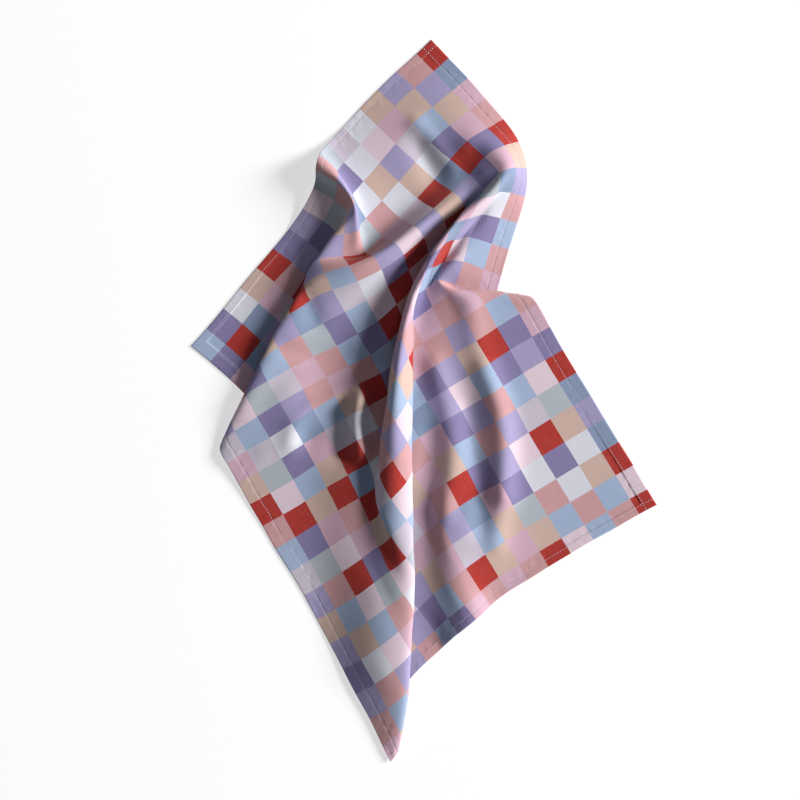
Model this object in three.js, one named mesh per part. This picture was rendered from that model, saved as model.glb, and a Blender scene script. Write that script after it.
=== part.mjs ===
// Tea towel of printed cotton, dropped loosely on a table and lying there in its folds.
// One cut cloth with turned hems, so it is one solid: a thin sheet in the shape it lies in.
// Millimetres, +Z up. The origin is on the table, under the middle of the towel.

import * as THREE from "three";

// ---- Driving sizes -------------------------------------------------------------------------
const CLOTH = { across: 500, along: 700, thickness: 1.2 };
const HEM = { long: 15, short: 10, thickness: 1.9 };      // turned edges: three plies of cloth
const SQUARE = { across: 30, along: 31 };                 // printed squares, for counting along
const CUT_OFF = { across: 6.6, along: 2.5 };              // part of the first squares lost at the cut
const CELLS = { across: 34, along: 48 };                  // mesh cells between the hems
const EASE = 0.003;                                       // how far the sheet may miss a fold's points
const THINNEST = 0.12;                                    // least half thickness inside a tight fold
const BALL_SHARE = 0.7;                                   // share of the free ball that cloth may fill

// ---- Fold table ----------------------------------------------------------------------------
// Corner A is at (0, 0) on the cloth, B at the end of A-B (across), D at the end of A-D (along)
// and C opposite A. Each fold lists points: at(squares across, squares along, x, y, height).
const at = (across, along, x, y, z) => ({ across, along, x, y, z });
const fold = (name, ...points) => ({ name, points });

const FOLDS = [
  fold("hem A-B, lying flat, then rising",
    at(0, 0, 8, 417, 0.5), at(2, 0, -32, 380, 0.5), at(4, 0, -74, 337, 0.5),
    at(6, 0, -114, 297, 5), at(7, 0, -120, 282, 21)),
  fold("hem A-B, the arch over the table",
    at(7.5, 0, -122, 273, 27), at(8, 0, -124, 264, 26), at(9, 0, -124, 246, 15),
    at(10, 0, -137, 222, 6), at(11, 0, -152, 200, 1)),
  fold("hem A-B, left flap",
    at(12, 0, -174, 175, 0.5), at(14, 0, -211, 132, 0.5), at(17, 0, -268, 65, 0.5)),
  fold("left flap, first row of squares",
    at(9, 1, -98, 231, 11), at(10, 1, -108, 207, 4), at(12, 1, -146, 159, 2),
    at(14, 1, -185, 113, 0.5), at(17, 1, -245, 46, 0.5)),
  fold("left flap, where the pleat covers it",
    at(10, 2, -98, 197, 11), at(12, 2, -136, 151, 2), at(14, 2, -165, 98, 0.5),
    at(16, 2, -202, 49, 0.5), at(17, 2, -222, 25, 0.5)),
  fold("left pleat, inner fold, hidden",
    at(11.5, 3.3, -110, 133, 3.5), at(13.9, 4.3, -134, 55, 3),
    at(15.8, 5.1, -157, -13, 2.5), at(17, 6, -150, -43, 2.5)),
  fold("left pleat, outer edge",
    at(9, 2, -80, 219, 25), at(9.4, 2.4, -89, 208, 22), at(10, 3, -113, 179, 17),
    at(10.5, 4.4, -132, 156, 18), at(12.8, 6.5, -171, 82, 17), at(14.7, 7.7, -204, 24, 12),
    at(15.9, 8.6, -221, -20, 9), at(17, 9.4, -237, -60, 6)),
  fold("hem A-D, round the top corner",
    at(0, 2, 53, 372, 0.5), at(0, 4, 92, 325, 2), at(0, 5, 110, 300, 5), at(0, 6, 118, 269, 6),
    at(0, 7, 116, 236, 4)),
  fold("hem A-D, right flap and its hidden end",
    at(0, 8, 107, 205, 2), at(0, 9, 97, 176, 0.5), at(0, 10.3, 85, 135, 0.5),
    at(0, 11.4, 75, 102, 2.5)),
  fold("hem A-D, right panel",
    at(0, 12.3, 100, 113, 6), at(0, 13.2, 124, 126, 11), at(0, 14, 130, 116, 8),
    at(0, 15, 145, 87, 3), at(0, 18, 192, 9, 0.5), at(0, 21, 241, -71, 0.5),
    at(0, 23, 268, -118, 0.5)),
  fold("top panel, right half",
    at(2, 1, -11, 362, 3), at(2, 2, 11, 337, 6), at(2, 3, 30, 313, 12), at(2, 4, 48, 299, 20),
    at(1, 4, 73, 310, 10), at(1, 5, 93, 293, 20)),
  fold("right peak",
    at(2, 5, 68, 283, 28), at(1.9, 6, 93, 266, 33), at(1, 6, 108, 269, 22), at(1, 7, 99, 241, 17)),
  fold("hollow left of the right peak",
    at(3, 2, -13, 324, 6), at(3, 3, 7, 297, 4), at(3.5, 4.2, 27, 265, 3), at(3, 5, 54, 259, 5),
    at(3, 4, 29, 277, 5)),
  fold("top panel, middle",
    at(4, 1, -55, 319, 3), at(4, 2, -33, 294, 6), at(4, 3, -8, 274, 9), at(5, 4, -5, 231, 5),
    at(4, 4, 14, 254, 4)),
  fold("top panel, lower left",
    at(6, 1, -94, 270, 7), at(6, 2, -71, 250, 11), at(6, 3, -49, 229, 9), at(6, 4, -26, 208, 6),
    at(7, 4, -48, 185, 5)),
  fold("left peak",
    at(7, 1, -100, 265, 24), at(7.5, 1, -98, 258, 32), at(8, 1, -95, 251, 31),
    at(7, 2, -81, 239, 22), at(8, 2, -75, 226, 31), at(8.5, 2, -75, 223, 32),
    at(7, 3, -70, 207, 13)),
  fold("slack beside the left peak",
    at(9, 3, -89, 191, 21), at(8, 3, -73, 191, 20), at(8, 4, -68, 164, 11), at(9, 4, -94, 163, 16),
    at(10, 4, -124, 163, 18)),
  fold("cross roll, crest",
    at(3, 6, 70, 242, 20), at(4, 5.1, 38, 237, 22), at(5, 5.1, 13, 218, 27),
    at(6, 5.1, -11, 199, 31), at(7, 5.1, -33, 183, 33), at(8, 5.2, -56, 164, 33),
    at(9, 5.2, -80, 149, 32), at(10, 5.3, -112, 145, 28), at(10.7, 5.8, -133, 135, 23)),
  fold("cross roll, foot",
    at(5, 6, 24, 210, 14), at(6, 6, 1, 190, 17), at(7, 6, -20, 168, 20), at(8, 6, -46, 152, 24),
    at(9, 6, -74, 137, 24), at(10, 6, -105, 130, 24), at(11, 6, -129, 117, 20),
    at(12, 6, -151, 104, 19)),
  fold("left panel, upper part",
    at(8, 7, -42, 130, 9), at(9, 7, -67, 117, 10), at(10, 7, -88, 103, 12),
    at(12, 7, -141, 76, 16), at(14, 8, -178, 26, 14), at(13, 8, -152, 41, 13)),
  fold("left panel, middle",
    at(9, 8, -50, 91, 4), at(11, 8, -96, 60, 8), at(13, 9, -134, 15, 11), at(15, 10, -172, -43, 8),
    at(16, 9, -216, -32, 10), at(14, 10, -148, -24, 8), at(12, 9, -109, 31, 7)),
  fold("left panel, lower part",
    at(12, 11, -93, -14, 4), at(12, 10, -102, 9, 4), at(14, 12, -125, -68, 4),
    at(16, 12, -176, -99, 3), at(17, 12, -204, -116, 2), at(10, 9, -56, 50, 3),
    at(11, 10, -71, 25, 3)),
  fold("hem B-C, left panel",
    at(17, 14, -172, -169, 0.5), at(17, 17, -123, -248, 0.5), at(17, 20, -81, -334, 0.5),
    at(17, 22, -50, -397, 2), at(17, 23, -38, -417, 3)),
  fold("left panel, rising to the band",
    at(15, 14, -120, -137, 3), at(15, 17, -72, -219, 6), at(15, 19, -50, -278, 12),
    at(16, 20, -52, -320, 6), at(16, 22, -21, -382, 12)),
  fold("band, left inner fold, hidden",
    at(4.2, 6.8, 52, 224, 8), at(5.4, 7.7, 18, 185, 5), at(6.3, 8.6, -10, 142, 3.5),
    at(7.7, 9.9, -27, 78, 2.5), at(9.8, 11.2, -34, 8, 2.5), at(11.3, 12.6, -48, -47, 2.5),
    at(12.5, 14.3, -59, -109, 3), at(13.4, 16.3, -60, -167, 8)),
  fold("ridge from the right peak into the band",
    at(3, 7, 66, 232, 30), at(4, 7.6, 44, 215, 31), at(4.4, 9, 20, 181, 31),
    at(5, 10, -5, 141, 31), at(6, 11, -21, 97, 33), at(7.2, 12, -25, 51, 34)),
  fold("band, crest",
    at(8.25, 12.75, -27, -6, 34), at(9.25, 13.75, -28, -51, 33), at(10.25, 14.75, -31, -97, 32),
    at(11.25, 15.75, -28, -140, 33), at(12.25, 16.75, -26, -183, 30),
    at(13.25, 17.75, -31, -226, 26), at(14.5, 19, -39, -270, 20), at(15.5, 20, -42, -313, 15),
    at(16.2, 20.9, -46, -350, 11)),
  fold("band, left wall",
    at(9.2, 11.9, -41, 1, 19), at(10.3, 13.2, -51, -46, 21), at(11.7, 14.6, -59, -107, 19)),
  fold("band, right edge",
    at(5.2, 10.3, -9, 129, 20), at(6, 11.2, -11, 95, 19), at(6.8, 12.2, -12, 51, 19),
    at(7.7, 13.2, -12, 4, 19), at(8.5, 14.1, -12, -39, 18), at(9.5, 15.2, -8, -89, 17),
    at(10.5, 16.3, -4, -135, 16), at(12, 18, -3, -203, 18), at(13, 19, -5, -243, 19),
    at(14, 20.1, -8, -291, 17), at(15, 21.2, -12, -335, 13), at(16, 22.1, -20, -385, 9),
    at(16.1, 23, -22, -396, 5)),
  fold("band, right inner fold, hidden",
    at(4.7, 10.7, -15, 126, 12), at(5.5, 11.7, -20, 93, 10), at(6.2, 12.8, -24, 51, 8),
    at(7.15, 14.05, -28, 3, 7), at(7.9, 15.1, -38, -43, 6), at(8.9, 16.3, -41, -89, 5),
    at(9.8, 17.4, -42, -135, 4.5), at(11, 18.9, -43, -183, 4), at(11.8, 19.8, -43, -229, 3.5),
    at(12.9, 20.9, -43, -272, 3), at(14.1, 23, -42, -340, 2.5)),
  fold("crease along the ridge",
    at(2, 8, 69, 218, 12), at(3, 9.2, 28, 175, 14), at(3.4, 10, 19, 159, 10),
    at(4.2, 10.9, 0, 129, 8)),
  fold("right flap",
    at(1, 8, 83, 213, 10), at(1, 9, 75, 182, 8), at(2, 9, 50, 191, 17), at(2, 10, 47, 165, 14),
    at(1, 10, 63, 152, 6), at(2, 11, 32, 138, 8), at(3, 10.7, 14, 145, 12)),
  fold("upper pleat, inner fold, hidden",
    at(1, 11.5, 51, 112, 3), at(2, 11.7, 28, 122, 4)),
  fold("upper pleat, edge",
    at(1, 12.85, 92, 133, 13), at(2, 12.3, 60, 132, 14), at(3, 11.8, 24, 129, 14),
    at(3.5, 11.5, 12, 136, 12)),
  fold("right panel, top",
    at(1, 14, 109, 103, 6), at(2, 14, 82, 85, 7), at(3, 14, 57, 68, 8), at(4, 13, 22, 85, 8),
    at(4, 12, 10, 113, 8), at(5, 13, -4, 68, 6), at(5, 14, 11, 44, 4), at(4, 14, 35, 56, 6)),
  fold("right panel, at the band",
    at(4.2, 11, -3, 127, 6), at(4.9, 12.2, -7, 93, 4.5), at(5.6, 13.4, -10, 51, 3),
    at(6.6, 14.9, -11, 3, 2.5), at(7.2, 16.2, -12, -43, 2), at(8.2, 17.4, -8, -89, 0.5),
    at(9, 18.5, -4, -135, 0.5), at(10, 20, -3, -183, 0.5), at(11, 21, -5, -233, 0.5),
    at(12, 22, -5, -274, 0.5)),
  fold("right panel, middle",
    at(2, 16, 112, 33, 4), at(5, 16, 46, -8, 3), at(6, 16, 19, -22, 4), at(8, 18, 7, -104, 2.5),
    at(3, 18, 118, -35, 4), at(5, 18, 72, -64, 8), at(5, 19, 85, -93, 7), at(7, 18, 26, -90, 6)),
  fold("right panel, lower part",
    at(2, 20, 177, -71, 2), at(5, 21, 114, -144, 3), at(8, 19, 17, -133, 10),
    at(8, 20, 30, -161, 13), at(9, 20, 15, -176, 6), at(8, 21, 45, -189, 14),
    at(9, 21, 24, -204, 11), at(10, 21, 8, -218, 2), at(8, 22, 63, -215, 9),
    at(9, 22, 45, -230, 15), at(10, 22, 27, -247, 9), at(11, 22, 14, -260, 1)),
  fold("hem D-C, right panel",
    at(2, 23, 223, -144, 0.5), at(4, 23, 169, -173, 0.5), at(6, 23, 117, -206, 0.5),
    at(8, 23, 77, -236, 3), at(8.5, 23, 70, -241, 11), at(9, 23, 62, -247, 17),
    at(9.5, 23, 50, -257, 18), at(10, 23, 39, -267, 13), at(11, 23, 23, -280, 1),
    at(12.4, 23, -8, -304, 2))
];

// ---- Swell table ---------------------------------------------------------------------------
// Ridges and hollows too soft for the fold table: height in mm (below 0 for a hollow), half width
// in mm, then the line that each follows on the cloth, as [squares across, squares along].
const swell = (name, height, width, ...line) => ({ name, height, width, line });

const SWELLS = [
  swell("right panel, ridge beside the band", 6, 13,
    [5, 14], [5.5, 15.8], [6, 17], [6.7, 17.9], [7.6, 18.8]),
  swell("right panel, hollow at the band's foot", -4, 12,
    [6.6, 16.3], [7.6, 17.6], [8.4, 18.7]),
  swell("right panel, hollow between its ridges", -4, 13,
    [4.6, 16.2], [5.3, 17.6], [5.8, 18.9], [6.6, 20]),
  swell("right panel, start of the upper ridge", 4, 15,
    [2.6, 12.8], [3.1, 14.2]),
  swell("right panel, upper ridge", 9.5, 14,
    [3.3, 15.1], [3.6, 16.6], [4.1, 17.8], [5.1, 19.4]),
  swell("right panel, end of the upper ridge", 4, 12,
    [5.1, 19.4], [6.4, 20.9]),
  swell("top panel, crease", 4.5, 10,
    [2.9, 2.1], [2.9, 3], [3.2, 4.2]),
  swell("top panel, hollow beside the crease", -4, 14,
    [3.5, 2.8], [3.7, 3.5], [4, 4.2]),
  swell("top panel, hollow at the right peak", -5, 12,
    [2.1, 4.7], [1.9, 5.8]),
  swell("left panel, dimple under the roll", -5, 12,
    [11.1, 5.6], [11.2, 6.6]),
  swell("left panel, crease across its middle", 4.5, 12,
    [14.4, 10.7], [13.9, 10.1], [12.9, 9.8], [12, 10.2], [11.1, 10.8]),
  swell("left panel, hollow below the crease", -4, 13,
    [13.7, 10.9], [12.4, 10.8], [11.8, 11.1]),
  swell("left panel, swell along the pleat", 3, 20,
    [15.2, 8.3], [13.9, 7.3], [12.6, 7]),
  swell("left panel, hollow above its middle", -2.5, 11,
    [12.8, 7.3], [12.1, 7.9], [10.8, 8.2]),
  swell("left panel, small crease at the hem", 2, 9,
    [15.5, 10.4], [14.4, 10.6]),
  swell("left panel, lip beside the band", 20, 9,
    [11.1, 10.5], [11.6, 11.1], [11.9, 11.8], [12.1, 12.5]),
  swell("left panel, hollow outside that lip", -4, 12,
    [12.5, 11], [12.9, 12.2]),
  swell("left panel, long rise to the band", 9, 36,
    [13, 13.2], [13.8, 15], [14.8, 17.5], [15.6, 19.4])
];

// Distance on the flat cloth from corner A, in mm, for a count of printed squares.
function fromCorner(squares, size, cutOff, most) {
  return Math.min(Math.max(squares * size - cutOff, 0), most);
}

const PINS = FOLDS.flatMap((row) => row.points).map((point) => ({
  s: fromCorner(point.across, SQUARE.across, CUT_OFF.across, CLOTH.across),
  t: fromCorner(point.along, SQUARE.along, CUT_OFF.along, CLOTH.along),
  place: [point.x, point.y, point.z],
}));

// ---- The draped sheet: a thin-plate spline from the flat cloth to space ----------------------
const UNIT = 100;                                         // mm, keeps the spline's sums small

function bend(s, t, pin) {
  const r2 = ((s - pin.s) ** 2 + (t - pin.t) ** 2) / UNIT ** 2;
  return r2 < 1e-12 ? 0 : 0.5 * r2 * Math.log(r2);
}

// Gauss-Jordan elimination with row pivoting; returns one [x, y, z] weight for each row.
function solve(matrix, right) {
  const size = matrix.length;
  for (let column = 0; column < size; column++) {
    let pivot = column;
    for (let row = column + 1; row < size; row++) {
      if (Math.abs(matrix[row][column]) > Math.abs(matrix[pivot][column])) pivot = row;
    }
    [matrix[column], matrix[pivot]] = [matrix[pivot], matrix[column]];
    [right[column], right[pivot]] = [right[pivot], right[column]];
    for (let row = 0; row < size; row++) {
      const factor = matrix[row][column] / matrix[column][column];
      if (row === column || factor === 0) continue;
      for (let k = column; k < size; k++) matrix[row][k] -= factor * matrix[column][k];
      for (let axis = 0; axis < 3; axis++) right[row][axis] -= factor * right[column][axis];
    }
  }
  return right.map((sums, row) => sums.map((sum) => sum / matrix[row][row]));
}

function fitSheet(pins) {
  const flat = pins.map((pin) => [1, pin.s / UNIT, pin.t / UNIT]);
  const matrix = pins.map((pin, row) => [
    ...pins.map((other, column) => bend(pin.s, pin.t, other) + (row === column ? EASE : 0)),
    ...flat[row],
  ]);
  for (let term = 0; term < 3; term++) {
    matrix.push([...flat.map((terms) => terms[term]), 0, 0, 0]);
  }
  const right = [...pins.map((pin) => [...pin.place]), [0, 0, 0], [0, 0, 0], [0, 0, 0]];
  return solve(matrix, right);
}

const WEIGHTS = fitSheet(PINS);

const SWELL_LINES = SWELLS.map(({ height, width, line }) => ({
  height,
  width,
  line: line.map(([across, along]) => new THREE.Vector3(
    fromCorner(across, SQUARE.across, CUT_OFF.across, CLOTH.across),
    fromCorner(along, SQUARE.along, CUT_OFF.along, CLOTH.along),
    0,
  )),
}));

// Height that the swells add at a place on the flat cloth: each fades with the distance from its
// line as a bell curve does.
function swellHeight(s, t) {
  const place = new THREE.Vector3(s, t, 0);
  const nearest = new THREE.Vector3();
  let sum = 0;
  for (const { height, width, line } of SWELL_LINES) {
    let distance = Infinity;
    for (let k = 0; k < line.length - 1; k++) {
      new THREE.Line3(line[k], line[k + 1]).closestPointToPoint(place, true, nearest);
      distance = Math.min(distance, nearest.distanceTo(place));
    }
    sum += height * Math.exp(-((distance / width) ** 2));
  }
  return sum;
}

function sheetPoint(s, t) {
  const terms = [...PINS.map((pin) => bend(s, t, pin)), 1, s / UNIT, t / UNIT];
  const place = [0, 0, 0];
  terms.forEach((term, row) => {
    for (let axis = 0; axis < 3; axis++) place[axis] += term * WEIGHTS[row][axis];
  });
  place[2] += swellHeight(s, t);
  place[2] = Math.max(place[2], CLOTH.thickness / 2);     // the cloth rests on the table
  return new THREE.Vector3(...place);
}

// ---- Grid lines on the flat cloth: one along each hem's stitch line, even ones between -------
function gridLines(length, hem, cells) {
  const lines = [0];
  for (let k = 0; k <= cells; k++) lines.push(hem + ((length - 2 * hem) * k) / cells);
  lines.push(length);
  return lines;
}

const ACROSS = gridLines(CLOTH.across, HEM.long, CELLS.across);
const ALONG = gridLines(CLOTH.along, HEM.short, CELLS.along);
const COLUMNS = ACROSS.length;
const ROWS = ALONG.length;
const index = (column, row) => row * COLUMNS + column;

const middle = ALONG.flatMap((t) => ACROSS.map((s) => sheetPoint(s, t)));

// The sheet's triangles, two for each cell, split along the way that the band's folds run.
function cellTriangles() {
  const triangles = [];
  for (let row = 0; row < ROWS - 1; row++) {
    for (let column = 0; column < COLUMNS - 1; column++) {
      const corner = index(column, row);
      const opposite = index(column + 1, row + 1);
      triangles.push([corner, index(column + 1, row), opposite]);
      triangles.push([corner, opposite, index(column, row + 1)]);
    }
  }
  return triangles;
}

const TRIANGLES = cellTriangles();

// Unit normal of the sheet at each grid point: the mean of its triangles, by area.
function sheetNormals() {
  const sums = middle.map(() => new THREE.Vector3());
  for (const [a, b, c] of TRIANGLES) {
    const ab = middle[b].clone().sub(middle[a]);
    const ac = middle[c].clone().sub(middle[a]);
    const normal = ab.cross(ac);
    for (const point of [a, b, c]) sums[point].add(normal);
  }
  return sums.map((sum) => sum.normalize());
}

const normals = sheetNormals();

// The largest ball that touches the sheet at a point, on one side, and meets it nowhere else.
// Cloth that fills only part of it can't run into the next ply of a fold.
function freeRadius(point, side) {
  const column = point % COLUMNS;
  const row = Math.floor(point / COLUMNS);
  let radius = Infinity;
  middle.forEach((other, k) => {
    const steps = Math.abs((k % COLUMNS) - column) + Math.abs(Math.floor(k / COLUMNS) - row);
    if (steps < 2) return;
    const gap = other.clone().sub(middle[point]);
    const height = gap.dot(normals[point]) * side;
    if (height > 1e-6) radius = Math.min(radius, gap.lengthSq() / (2 * height));
  });
  return radius;
}

function halfThickness(point, side) {
  const s = ACROSS[point % COLUMNS];
  const t = ALONG[Math.floor(point / COLUMNS)];
  const inHem = Math.min(s, CLOTH.across - s) <= HEM.long || Math.min(t, CLOTH.along - t) <= HEM.short;
  const wanted = (inHem ? HEM.thickness : CLOTH.thickness) / 2;
  return Math.max(Math.min(wanted, BALL_SHARE * freeRadius(point, side)), THINNEST);
}

// ---- The solid: upper face, under face and the four cut edges --------------------------------
function face(side) {
  return middle.map((place, point) => {
    const skin = place.clone().addScaledVector(normals[point], side * halfThickness(point, side));
    skin.z = Math.max(skin.z, 0);
    return skin;
  });
}

function rim() {
  const loop = [];
  for (let column = 0; column < COLUMNS - 1; column++) loop.push(index(column, 0));
  for (let row = 0; row < ROWS - 1; row++) loop.push(index(COLUMNS - 1, row));
  for (let column = COLUMNS - 1; column > 0; column--) loop.push(index(column, ROWS - 1));
  for (let row = ROWS - 1; row > 0; row--) loop.push(index(0, row));
  return loop;
}

function towelGeometry() {
  const points = [...face(1), ...face(-1)];
  const under = middle.length;
  const triangles = TRIANGLES.flatMap(([a, b, c]) => [a, b, c, under + a, under + c, under + b]);
  const loop = rim();
  loop.forEach((from, k) => {
    const to = loop[(k + 1) % loop.length];
    triangles.push(from, under + from, under + to, from, under + to, to);
  });
  const geometry = new THREE.BufferGeometry();
  const coordinates = points.flatMap((point) => point.toArray());
  geometry.setAttribute("position", new THREE.Float32BufferAttribute(coordinates, 3));
  geometry.setIndex(triangles);
  geometry.computeVertexNormals();
  return geometry;
}

// ---- The scene graph ---------------------------------------------------------------------------
const cotton = new THREE.MeshStandardMaterial({ color: 0xd8c4d2, roughness: 0.92, metalness: 0 });

const towel = new THREE.Mesh(towelGeometry(), cotton);
towel.name = "tea_towel";

const group = new THREE.Group();
group.add(towel);

export default group;
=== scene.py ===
# %% [markdown]
# # A printed tea towel, dropped loosely on a table
#
# The real thing is one piece of plain cotton cloth, 50 by 70 cm, printed all over with coloured
# squares and hemmed on its four edges. Someone let it fall, so it lies in a top panel with two
# peaks, a roll across its middle, and one long tube of cloth that runs down between two panels.
#
# The CAD part gives the same towel with few faces. This script makes the cloth again with its true
# softness, hems, thread and print, and stands it in the CAD solid's place. The steps are:
#
# 1. load the fixed frame and set the sizes,
# 2. list where the folds lie, and bend a flat sheet through them,
# 3. let that sheet relax as cloth does, and add its soft ridges,
# 4. give it thickness, turned hems and puckers,
# 5. print the cotton,
# 6. sew the hems,
# 7. set up the table, the light and the camera.

import math

import bpy
import numpy as np
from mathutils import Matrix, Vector
from mathutils.kdtree import KDTree


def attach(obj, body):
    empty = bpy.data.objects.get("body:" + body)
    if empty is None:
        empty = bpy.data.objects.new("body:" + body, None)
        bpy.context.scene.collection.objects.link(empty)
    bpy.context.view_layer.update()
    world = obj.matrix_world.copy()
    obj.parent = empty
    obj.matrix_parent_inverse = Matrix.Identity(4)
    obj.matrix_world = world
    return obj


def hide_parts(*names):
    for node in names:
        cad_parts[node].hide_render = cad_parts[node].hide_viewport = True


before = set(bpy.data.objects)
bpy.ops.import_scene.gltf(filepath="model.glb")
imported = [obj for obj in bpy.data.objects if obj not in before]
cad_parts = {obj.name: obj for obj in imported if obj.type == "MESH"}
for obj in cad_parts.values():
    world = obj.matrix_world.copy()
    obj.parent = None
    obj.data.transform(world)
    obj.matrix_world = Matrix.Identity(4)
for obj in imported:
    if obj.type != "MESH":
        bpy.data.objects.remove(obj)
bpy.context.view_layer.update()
print("nodes of the frame:", sorted(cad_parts))

# %% [markdown]
# ## The cloth's own sizes
#
# A place on the cloth is given by two distances from its corner A, as a tailor would measure it on
# the flat cloth: *across*, along the 50 cm side, and *along*, down the 70 cm side. The printed
# squares make a handy ruler, so the fold table counts in squares. All lengths are in millimetres
# until the mesh is made, because that is how cloth is measured.

# %% Sizes of the flat cloth
CLOTH = {"across": 500.0, "along": 700.0, "thickness": 1.2}
HEM = {"long": 15.0, "short": 10.0, "thickness": 1.9}  # turned under twice and pressed
SQUARE = {"across": 30.0, "along": 31.0}
CUT_OFF = {"across": 6.6, "along": 2.5}  # part of the first squares lost at the cut
MM = 0.001
print("flat cloth:", CLOTH["across"], "by", CLOTH["along"], "mm")

# %% [markdown]
# ## Where the folds lie
#
# Corner A is at the top, B at the left, C at the bottom and D at the right. Each fold is a short
# row of places: squares across, squares along, then x, y and height on the table. A simulation that
# drops a flat sheet would give folds too, but never these ones. So the folds are given as a table,
# and a small solver, further on, makes them soft.

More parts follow.
